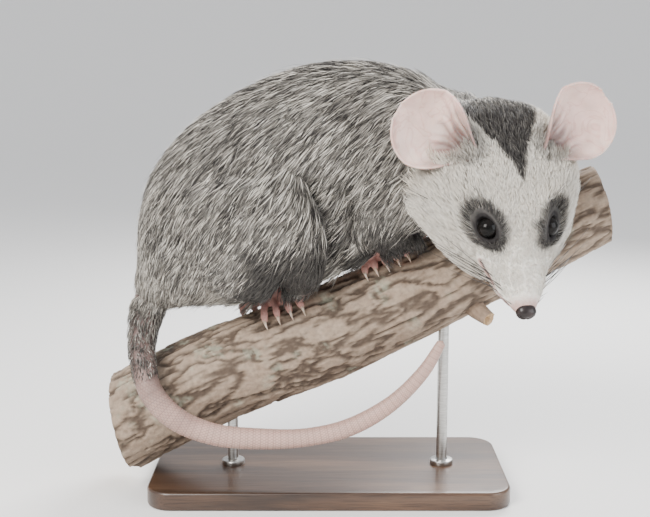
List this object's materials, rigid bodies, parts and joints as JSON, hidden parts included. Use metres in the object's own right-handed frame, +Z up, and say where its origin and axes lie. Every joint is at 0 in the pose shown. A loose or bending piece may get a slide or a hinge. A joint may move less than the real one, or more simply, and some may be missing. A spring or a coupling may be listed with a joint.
{
  "type": "opossum on a branch, museum model",
  "caption": "Young white-eared opossum crouching on a short cut length of branch, head turned and tail hanging, life size, on a flat base with two rods.",
  "frame": {"origin": "on the floor, under the middle of the model's box", "axes": "+Z up, +X up the slope of the branch, the way the animal's body faces, -Y the side that its face turns to"},
  "size_m": [0.2796, 0.1416, 0.2351],
  "materials": {
    "face_fur": "short pale fur with a dark wedge on the forehead",
    "nose_skin": "bare, damp and finely pebbled",
    "eye": "wet black",
    "ear_skin": "thin bare pale skin, dusky at the root",
    "coat": "longish grizzled coat, dark tips over pale underfur",
    "leg_fur": "short dark grey fur",
    "foot_skin": "bare pink skin",
    "tail_skin": "bare finely scaled skin",
    "bark": "furrowed bark, sawn at both ends",
    "stand_wood": "dark satin walnut",
    "rod_steel": "satin"
  },
  "bodies": {
    "root": {"head": "face_fur", "nose": "nose_skin", "eye_left": "eye", "eye_right": "eye", "ear_left": "ear_skin", "ear_right": "ear_skin", "neck": "coat", "torso": "coat", "foreleg_left": "leg_fur", "foreleg_right": "leg_fur", "hindleg_left": "leg_fur", "hindleg_right": "leg_fur", "forefoot_left": "foot_skin", "forefoot_right": "foot_skin", "hindfoot_left": "foot_skin", "hindfoot_right": "foot_skin", "tail_1": "tail_skin", "tail_2": "tail_skin", "tail_3": "tail_skin", "tail_4": "tail_skin", "tail_5": "tail_skin", "perch": "bark", "stand_base": "stand_wood", "stand_rod_1": "rod_steel", "stand_rod_2": "rod_steel"}
  },
  "joints": []
}
